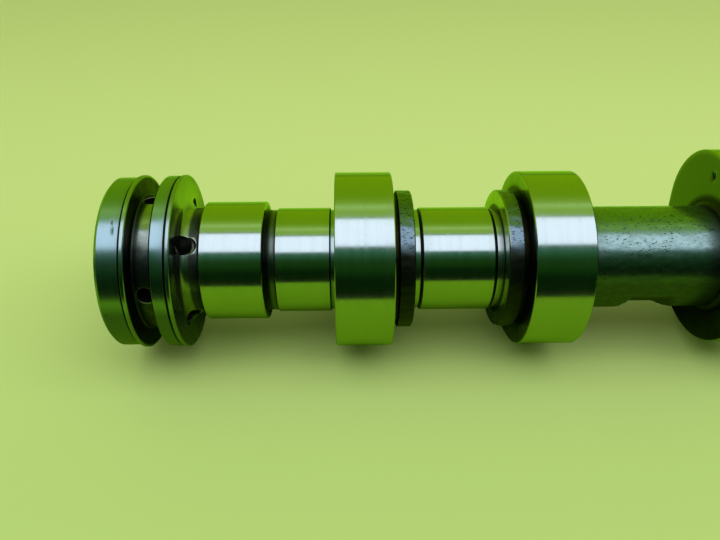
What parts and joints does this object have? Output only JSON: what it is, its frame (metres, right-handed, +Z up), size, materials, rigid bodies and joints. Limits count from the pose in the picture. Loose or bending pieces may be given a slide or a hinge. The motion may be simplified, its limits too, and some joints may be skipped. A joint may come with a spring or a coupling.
{
  "type": "camshaft",
  "caption": "One-piece engine camshaft with ground cam lobes in pairs, bearing journals between them, and a flanged head with an oil groove and drilled oil holes.",
  "frame": {"origin": "centre of the head's front face, on the shaft's axis", "axes": "+X along the shaft from the head to the rear end, +Z up with the shaft lying down"},
  "size_m": [0.3658, 0.0446, 0.0446],
  "materials": {
    "shaft_steel": "ground and turned bright steel, with as-cast collars and shaft"
  },
  "bodies": {
    "root": {"camshaft": "shaft_steel"}
  },
  "joints": []
}
